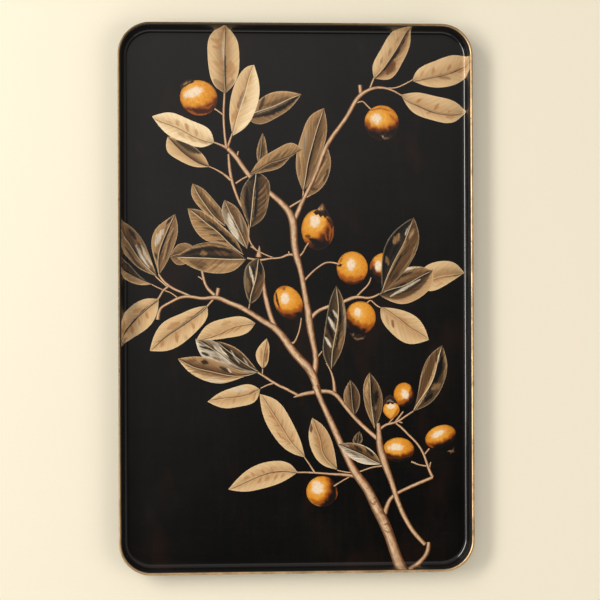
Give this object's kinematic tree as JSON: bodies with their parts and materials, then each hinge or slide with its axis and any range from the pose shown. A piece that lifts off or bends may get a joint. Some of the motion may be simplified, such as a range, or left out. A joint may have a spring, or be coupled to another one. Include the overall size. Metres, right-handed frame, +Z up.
{
  "type": "painted serving tray",
  "caption": "Shallow rectangular lacquered steel tray with rounded corners, a gilded wired rim and a painted fruiting branch, for serving or display.",
  "frame": {"origin": "centre of the resting plane under the tray", "axes": "+X across the width, +Y along the length towards the top of the painting, +Z up out of the tray"},
  "size_m": [0.31, 0.48, 0.015],
  "materials": {
    "sheet_steel": "pressed sheet, coated all over",
    "wire_steel": "drawn wire",
    "black_lacquer": "black oil lacquer, high gloss",
    "back_lacquer": "black oil lacquer, half gloss",
    "gilding": "bronze powder in varnish, satin",
    "bough_paint": "oil paint under varnish, gloss",
    "twig_paint": "oil paint under varnish, gloss",
    "pale_leaf_paint": "oil paint under varnish, gloss",
    "bronze_leaf_paint": "oil paint under varnish, gloss",
    "shaded_leaf_paint": "oil paint under varnish, gloss",
    "fruit_paint": "oil paint under varnish, gloss",
    "crown_paint": "oil paint under varnish, gloss"
  },
  "bodies": {
    "root": {"tray_pan": "sheet_steel", "edge_wire": "wire_steel", "face_lacquer": "black_lacquer", "base_lacquer": "back_lacquer", "wall_lacquer": "back_lacquer", "rim_gilding": "gilding", "boughs": "bough_paint", "twigs": "twig_paint", "pale_leaves": "pale_leaf_paint", "bronze_leaves": "bronze_leaf_paint", "shaded_leaves": "shaded_leaf_paint", "fruits": "fruit_paint", "fruit_crowns": "crown_paint"}
  },
  "joints": []
}
